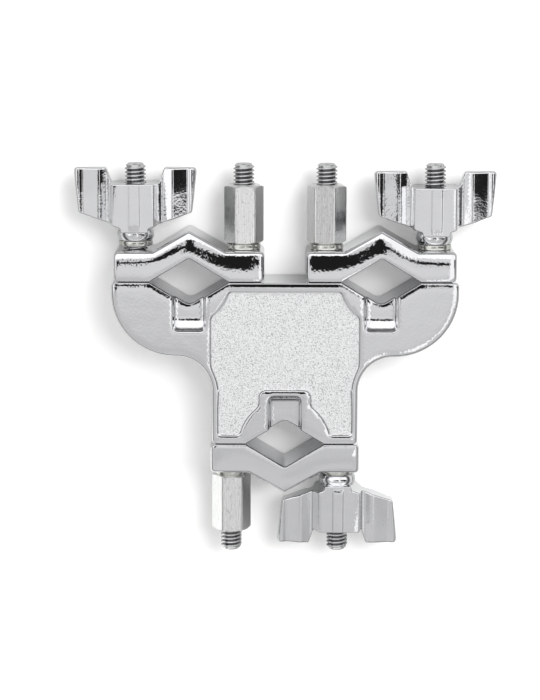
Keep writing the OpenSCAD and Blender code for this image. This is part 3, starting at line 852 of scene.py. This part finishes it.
points, faces = lock_washer()
for clamp, (x, way) in STUDS.items():
    for side, kind in ((wing_side[clamp], "wing"), (-wing_side[clamp], "hex")):
        lift = LOOSENED.get(clamp, 0.0) if kind == "wing" else 0.0
        v, f, _ = placed((points, faces, np.zeros_like(points)), x + side * STUD_X,
                         way * (PARTING + JAW_GAP + EAR + lift), DEPTH / 2, way < 0)
        name = clamp + "_" + kind + "_washer"
        made = piece(name.replace("_washer", "_lock_washer"), v, f)
        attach(made, clamp + "_" + kind + "_washer")
        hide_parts(name)
print("six washers with", len(points), "points each")

# %% [markdown]
# ## Effects that several finishes share
#
# All finishes are patterns worked out on each piece's own place in millimetres.
# Plated metal has a slight orange peel, because the buffed surface under it isn't quite flat.
# A sandy grain comes from the blasted mould, and drawn bar has streaks along its length.
# Each effect is a group that puts out a height or a mask, so every metal can take its own share.

# %% Build the groups
class Wires:
    """Adds nodes to a tree, or fills their inputs, in one line. Inputs are given by name or
    number, as values or as sockets."""

    def __init__(self, tree):
        self.tree = tree

    def fill(self, node, inputs):
        """Sets a node's inputs from sockets or from values."""
        for key, value in inputs.items():
            if isinstance(value, bpy.types.NodeSocket):
                self.tree.links.new(value, node.inputs[key])
            else:
                node.inputs[key].default_value = value
        return node

    def add(self, kind, inputs=None, **settings):
        """New node with these settings and inputs."""
        made = self.tree.nodes.new(kind)
        for key, value in settings.items():
            setattr(made, key, value)
        return self.fill(made, inputs or {})

    def math(self, operation, a, b=0.0, c=0.0):
        """Result of one operation on up to three numbers."""
        return self.add("ShaderNodeMath", {0: a, 1: b, 2: c}, operation=operation).outputs[0]

    def ramp(self, value, low, high, start=0.0, end=1.0):
        """Smooth rise from start to end while the value goes from low to high."""
        made = self.add("ShaderNodeMapRange", {0: value, 1: low, 2: high, 3: start, 4: end},
                        interpolation_type="SMOOTHSTEP")
        return made.outputs[0]

    def blend(self, share, a, b):
        """Colour a where the share is 0, and b where it is 1."""
        return self.add("ShaderNodeMix", {0: share, 6: a, 7: b}, data_type="RGBA").outputs[2]


def group(name, inputs, outputs):
    """Empty node group with number inputs {name: default} and number outputs."""
    tree = bpy.data.node_groups.new(name, "ShaderNodeTree")
    for label, value in inputs.items():
        socket = tree.interface.new_socket(label, in_out="INPUT", socket_type="NodeSocketFloat")
        socket.default_value = value
    for label in outputs:
        tree.interface.new_socket(label, in_out="OUTPUT", socket_type="NodeSocketFloat")
    wires = Wires(tree)
    return tree, wires, wires.add("NodeGroupInput").outputs, wires.add("NodeGroupOutput")


def millimetres(wires, stretch=(1, 1, 1)):
    """Each point's own place, in millimetres, stretched where a pattern should run long."""
    place = wires.add("ShaderNodeTexCoord").outputs["Object"]
    scale = tuple(1000.0 / s for s in stretch)
    return wires.add("ShaderNodeVectorMath", {0: place, 1: scale}, operation="MULTIPLY").outputs[0]


def noise(wires, place, scale, detail, rough=0.5):
    """Cloudy pattern between 0 and 1 with that many lumps in a millimetre."""
    inputs = {"Vector": place, "Scale": scale, "Detail": detail, "Roughness": rough}
    return wires.add("ShaderNodeTexNoise", inputs).outputs[0]


peel, wires, given, put = group("orange peel", {"Size": 1.0, "Long share": 0.5}, ["Height"])
place = millimetres(wires)
scale = wires.math("DIVIDE", 1.0, given["Size"])
fine = noise(wires, place, scale, 1.0, 0.45)
long = wires.math("MULTIPLY", noise(wires, place, wires.math("MULTIPLY", scale, 0.16), 0.0), 6.0)
wires.fill(put, {"Height": wires.math("MULTIPLY_ADD", long, given["Long share"], fine)})

sand, wires, given, put = group("sandy grain", {"Size": 0.45, "Fine share": 0.5},
                                ["Height", "Pits"])
place = millimetres(wires)
scale = wires.math("DIVIDE", 1.0, given["Size"])
coarse = noise(wires, place, scale, 2.0, 0.7)
cells = wires.add("ShaderNodeTexVoronoi", {"Vector": place, "Scale": scale}).outputs["Distance"]
fine = wires.math("MULTIPLY", given["Fine share"], -0.6)
height = wires.math("MULTIPLY_ADD", cells, fine, coarse)
wires.fill(put, {"Height": height, "Pits": wires.ramp(height, 0.36, 0.1)})

drawn, wires, given, put = group("drawn streaks", {"Width": 0.35, "Length": 9.0},
                                 ["Height", "Streaks", "Specks"])
squeeze = wires.math("DIVIDE", given["Width"], given["Length"])
along = wires.add("ShaderNodeCombineXYZ", {0: 1.0, 1: squeeze, 2: 1.0}).outputs[0]
place = wires.add("ShaderNodeVectorMath", {0: millimetres(wires), 1: along},
                  operation="MULTIPLY").outputs[0]
lines = noise(wires, place, wires.math("DIVIDE", 1.0, given["Width"]), 3.0, 0.6)
specks = noise(wires, millimetres(wires, (1, 3, 1)), 1.9, 2.0, 0.6)
wires.fill(put, {"Height": lines, "Streaks": wires.ramp(lines, 0.35, 0.65),
                 "Specks": wires.ramp(specks, 0.58, 0.72)})
print("groups:", [g.name for g in bpy.data.node_groups])

# %% [markdown]
# ## The finishes
#
# Chrome is a metal of pale, slightly blue grey that is nearly a mirror.
# The castings carry it over two grounds: buffed flats, and the blasted panel, which the vertex
# mark "grained" shows. One material with a mask keeps the border as soft as the step in the mesh.

# %% Make the finishes
GRAIN_TO_PEEL = 14.0


def metal(name, color, roughness, build):
    """Metal whose colour, roughness and bump come from build(wires) as a dictionary of sockets."""
    made = bpy.data.materials.new(name)
    made.use_nodes = True
    wires = Wires(made.node_tree)
    surface = made.node_tree.nodes["Principled BSDF"]
    wires.fill(surface, {"Metallic": 1.0, "Base Color": (*color, 1), "Roughness": roughness})
    wires.fill(surface, build(wires))
    return made


def bump(wires, height, depth_mm):
    """Normal of a surface with that height, of which 1 stands for depth_mm."""
    inputs = {"Height": height, "Distance": depth_mm * MM, "Strength": 1.0}
    return wires.add("ShaderNodeBump", inputs).outputs[0]


def use(wires, tree, values):
    """Outputs of a shared group with these values on its inputs."""
    return wires.add("ShaderNodeGroup", values, node_tree=tree).outputs


def casting_chrome(wires):
    """Mirror on the flats, and pale blasted metal with dark pits where "grained" is 1."""
    grained = wires.add("ShaderNodeAttribute", attribute_name="grained").outputs["Fac"]
    waves = use(wires, peel, {"Size": 0.9, "Long share": 0.35})
    grain = use(wires, sand, {"Size": 0.42, "Fine share": 0.6})
    height = wires.math("MULTIPLY", waves["Height"], wires.math("SUBTRACT", 1.0, grained))
    coarse = wires.math("MULTIPLY", grain["Height"], GRAIN_TO_PEEL)
    height = wires.math("MULTIPLY_ADD", coarse, grained, height)
    pale = wires.blend(grain["Pits"], (0.9, 0.905, 0.91, 1), (0.45, 0.455, 0.46, 1))
    return {
        "Base Color": wires.blend(grained, (0.91, 0.915, 0.93, 1), pale),
        "Roughness": wires.math("MULTIPLY_ADD", grained, 0.42, 0.035),
        "Metallic": wires.math("MULTIPLY_ADD", grained, -0.55, 1.0),
        "Normal": bump(wires, height, 0.018),
    }


def nut_chrome(wires):
    """Mirror that handling has dulled a little in clouds about a centimetre wide."""
    waves = use(wires, peel, {"Size": 0.8, "Long share": 0.45})
    tone = noise(wires, millimetres(wires), 0.12, 2.0)
    pale, bright = (0.89, 0.895, 0.91, 1), (0.92, 0.925, 0.94, 1)
    return {
        "Base Color": wires.blend(wires.ramp(tone, 0.3, 0.7), pale, bright),
        "Roughness": wires.ramp(tone, 0.3, 0.7, 0.05, 0.09),
        "Normal": bump(wires, waves["Height"], 0.022),
    }


def bar_chrome(wires):
    """Plating over drawn bar: pale streaks along the bar, with darker specks between them."""
    streaks = use(wires, drawn, {"Width": 0.3, "Length": 8.0})
    shade = wires.math("MULTIPLY_ADD", streaks["Specks"], 0.8, 0.35)
    shade = wires.math("MULTIPLY_ADD", streaks["Streaks"], -0.35, shade)
    return {
        "Base Color": wires.blend(shade, (0.95, 0.955, 0.95, 1), (0.66, 0.665, 0.66, 1)),
        "Roughness": wires.ramp(streaks["Streaks"], 0.0, 1.0, 0.1, 0.2),
        "Normal": bump(wires, streaks["Height"], 0.05),
    }


def stud_steel(wires):
    """Painted shade in the thread grooves and a painted highlight on the crests, with more
    painted shade where a flank is seen at a slant.
    """
    marks = use(wires, peel, {"Size": 0.5, "Long share": 0.2})
    crest = wires.add("ShaderNodeAttribute", attribute_name="crest").outputs["Fac"]
    worn = wires.ramp(marks["Height"], 0.6, 1.1, -0.1, 0.1)
    # Painted shade in the grooves and painted highlight on the crests, with a little random tone
    tone = wires.math("ADD", wires.ramp(crest, 0.12, 0.7), worn)
    slant = wires.add("ShaderNodeLayerWeight", {"Blend": 0.5}).outputs["Facing"]
    # Painted shade: the colour darkens as the surface is seen at a slant
    tone = wires.math("MULTIPLY", tone, wires.ramp(slant, 0.4, 0.85, 1.0, 0.2))
    return {
        "Base Color": wires.blend(tone, (0.16, 0.162, 0.17, 1), (0.93, 0.935, 0.94, 1)),
        "Roughness": wires.ramp(marks["Height"], 0.5, 1.2, 0.14, 0.24),
        "Normal": bump(wires, marks["Height"], 0.02),
    }


def washer_steel(wires):
    """Slightly yellow nickel with soft darker clouds."""
    marks = use(wires, peel, {"Size": 0.7, "Long share": 0.3})
    dull, bright = (0.62, 0.62, 0.58, 1), (0.8, 0.8, 0.76, 1)
    return {
        "Base Color": wires.blend(wires.ramp(marks["Height"], 0.7, 1.6), dull, bright),
        "Roughness": wires.ramp(marks["Height"], 0.7, 1.6, 0.12, 0.2),
        "Normal": bump(wires, marks["Height"], 0.02),
    }


finishes = {
    "castings": metal("chromed_casting", (0.91, 0.915, 0.93), 0.04, casting_chrome),
    "wing_nuts": metal("chromed_wing_nut", (0.9, 0.905, 0.92), 0.04, nut_chrome),
    "long_nuts": metal("chromed_bar", (0.92, 0.925, 0.93), 0.14, bar_chrome),
    "studs": metal("plated_stud", (0.8, 0.805, 0.81), 0.2, stud_steel),
    "washers": metal("nickel_washer", (0.8, 0.8, 0.74), 0.16, washer_steel),
}
kinds = {"_polished_jaw": "castings", "polished_body": "castings", "_cast_wing_nut": "wing_nuts",
         "_bar_long_nut": "long_nuts", "_threaded_stud": "studs", "_lock_washer": "washers"}
for made in bpy.context.scene.objects:
    for ending, kind in kinds.items():
        if made.name.endswith(ending):
            made.data.materials.clear()
            made.data.materials.append(finishes[kind])
print("finishes:", sorted(m.name for m in finishes.values()))

# %% [markdown]
# ## The paper under the clamp
#
# The photo was taken on white paper in a soft white tent, so the clamp stands on a plain floor.
# To the camera the paper is white but for the soft shadow. Mirrors that look down at it at a
# slant see its colour painted dark, a painted shade, and at the most grazing slants a painted
# half-lit grey. The painted shade is left out left of the lower clamp, where nothing stands, so
# the paper stays bright there.

# %% Lay the paper
PAPER_HALF, PAPER_Z = 3, -0.0005
floor_mesh = bpy.data.meshes.new("floor")
corners = [(x * PAPER_HALF, y * PAPER_HALF, PAPER_Z)
           for x, y in ((-1, -1), (1, -1), (1, 1), (-1, 1))]
floor_mesh.from_pydata(corners, [], [(0, 1, 2, 3)])
floor = in_scene("floor", floor_mesh)
paper = bpy.data.materials.new("white_paper")
paper.use_nodes = True
wires = Wires(paper.node_tree)
seen = wires.add("ShaderNodeLightPath").outputs
slant = wires.add("ShaderNodeLayerWeight", {"Blend": 0.5}).outputs["Facing"]
# Painted shade: for glossy rays the paper's colour turns dark with the slant it is seen at
low = wires.ramp(slant, 0.04, 0.3, 0.15, 0.5)
for change in ((0.5, 0.62, 0.0, 0.5), (0.6, 0.655, 0.0, -0.55)):
    low = wires.math("ADD", low, wires.ramp(slant, *change))
x, y, _ = wires.add("ShaderNodeSeparateXYZ", {0: millimetres(wires)}).outputs
open_side = wires.math("MULTIPLY", wires.ramp(x, -26.0, -34.0), wires.ramp(y, -33.0, -42.0))
low = wires.math("MULTIPLY", low, wires.math("MULTIPLY_ADD", open_side, -0.95, 1.0))
low = wires.math("MULTIPLY", low, seen["Is Glossy Ray"])
wires.fill(paper.node_tree.nodes["Principled BSDF"], {
    "Roughness": 0.9,
    "Specular IOR Level": 0.0,
    "Base Color": wires.blend(low, (0.93, 0.935, 0.925, 1), (0.06, 0.06, 0.06, 1)),
    "Emission Color": (1, 1, 1, 1),
    "Emission Strength": wires.math("MULTIPLY", seen["Is Camera Ray"], 0.14),
})
floor_mesh.materials.append(paper)
print("floor:", [round(v, 2) for v in floor.dimensions], "m")

# %% [markdown]
# ## The room that the chrome mirrors
#
# Small lamps would only give bright dots on polished metal, so the world carries the tent as a
# plain pattern of directions, and only mirrors see it. Right is the angle atan2(x, z) and up is
# atan2(y, z), both from straight above the paper, where the camera looks from.
# - The cloth is a light grey wall, a little darker below and to the right, and white high up.
# - White sheets hang at the left and at the right of the opening, and a small one low down.
# - The opening has a thin dark rim and two dark upright shapes in it, and a tall dark stand with
#   a broad foot is far to the right. These make the dark bands on the jaws and the finger pads.
# - Low down the surroundings are dark, with half-lit cloth at the level of the paper.
# Everything that isn't a mirror sees a plain soft light, and the camera sees white.

# %% Draw the room
world = bpy.data.worlds.new("studio")
bpy.context.scene.world = world
world.use_nodes = True
wires = Wires(world.node_tree)
way = wires.add("ShaderNodeTexCoord").outputs["Generated"]
x, y, z = wires.add("ShaderNodeSeparateXYZ", {0: way}).outputs
angles = [wires.math("ARCTAN2", x, z), wires.math("ARCTAN2", y, z), wires.math("ARCSINE", z)]
right, up, steep = (wires.math("MULTIPLY", angle, 180 / math.pi) for angle in angles)
DARK = 0.012


def both(first, *others):
    """Product of several masks."""
    for other in others:
        first = wires.math("MULTIPLY", first, other)
    return first


def lit(room, mask, value):
    """Brings the room to the value where the mask is 1."""
    return wires.math("MULTIPLY_ADD", mask, wires.math("SUBTRACT", value, room), room)


def band(angle, low, high, soft=1.0):
    """1 between two angles and 0 outside, with soft ends."""
    return both(wires.ramp(angle, low - soft / 2, low + soft / 2),
                wires.ramp(angle, high + soft / 2, high - soft / 2))


cloth = noise(wires, way, 5.0, 1.0)
room = wires.ramp(up, -16.0, -4.0, 0.56, 0.68)
room = wires.math("ADD", room, wires.ramp(right, 12.0, 30.0, 0.0, -0.08))
room = wires.math("ADD", room, wires.ramp(cloth, 0.3, 0.7, -0.04, 0.04))
high_cloth = wires.ramp(up, 11.0, 15.0)
left_sheet = both(band(right, -47.0, -28.5, 2.0), wires.ramp(up, -12.5, -10.5))
past_edge = wires.math("SUBTRACT", right, wires.ramp(up, -12.5, -9.0, 14.0, 32.0))
right_sheet = both(wires.ramp(right, 9.0, 10.5), wires.ramp(past_edge, 1.0, -1.0),
                   wires.ramp(up, -17.5, -15.5))
small_sheet = both(band(right, 5.6, 9.6, 1.0), band(up, -21.0, -14.6, 1.2))
surroundings, paper_level = wires.ramp(steep, 36.0, 16.0), wires.ramp(steep, 9.0, 3.0)
for mask, value in ((high_cloth, 1.2), (left_sheet, 1.1), (right_sheet, 1.0),
                    (small_sheet, 1.05), (surroundings, 0.1), (paper_level, 0.42)):
    room = lit(room, mask, value)
foot = wires.math("SUBTRACT", up, wires.ramp(right, 38.5, 41.0, -1.6, -11.0))
stand = both(band(right, 19.0, 60.0, 2.0), wires.ramp(foot, -3.2, 0.4), wires.ramp(up, 10.5, 9.5))
rise = wires.math("ADD", up, 8.0)
off = wires.math("ADD", both(right, right), both(rise, rise))
off = wires.math("SQRT", off)
rim = both(band(off, 11.2, 15.0, 0.7), wires.ramp(up, -12.0, -4.0), wires.ramp(right, 10.0, 8.0))
tall_shape = both(band(up, -1.8, 13.0), band(right, -3.4, 4.0))
short_shape = both(band(up, 2.0, 9.0), band(right, -14.0, -7.0))
for dark in (stand, rim, tall_shape, short_shape):
    room = lit(room, dark, DARK)
path = wires.add("ShaderNodeLightPath").outputs
room = wires.blend(path["Is Glossy Ray"], (0.74, 0.745, 0.74, 1), room)
room = wires.blend(path["Is Camera Ray"], room, (1, 1, 1, 1))
wires.fill(world.node_tree.nodes["Background"], {"Color": room})
print("room:", len(world.node_tree.nodes), "nodes")

# %% [markdown]
# ## One soft lamp
#
# A broad lamp behind the camera, up and to the right, gives the soft shadow to the lower left.
# The chrome doesn't mirror it, because the drawn room already has its lights.

# %% Hang the lamp
LAMP_WIDTH, LAMP_WATTS = 0.8, 14.0
key = in_scene("key", bpy.data.lights.new("key", "AREA"))
key.data.shape, key.data.size, key.data.energy = "SQUARE", LAMP_WIDTH, LAMP_WATTS
spot = Vector((0.62, 0.52, 1.15))
key.matrix_world = Matrix.Translation(spot) @ spot.to_track_quat("Z", "Y").to_matrix().to_4x4()
key.visible_glossy = False
bpy.context.scene.view_settings.view_transform = "Standard"
print("lamp", round(spot.length, 2), "m from the clamp")
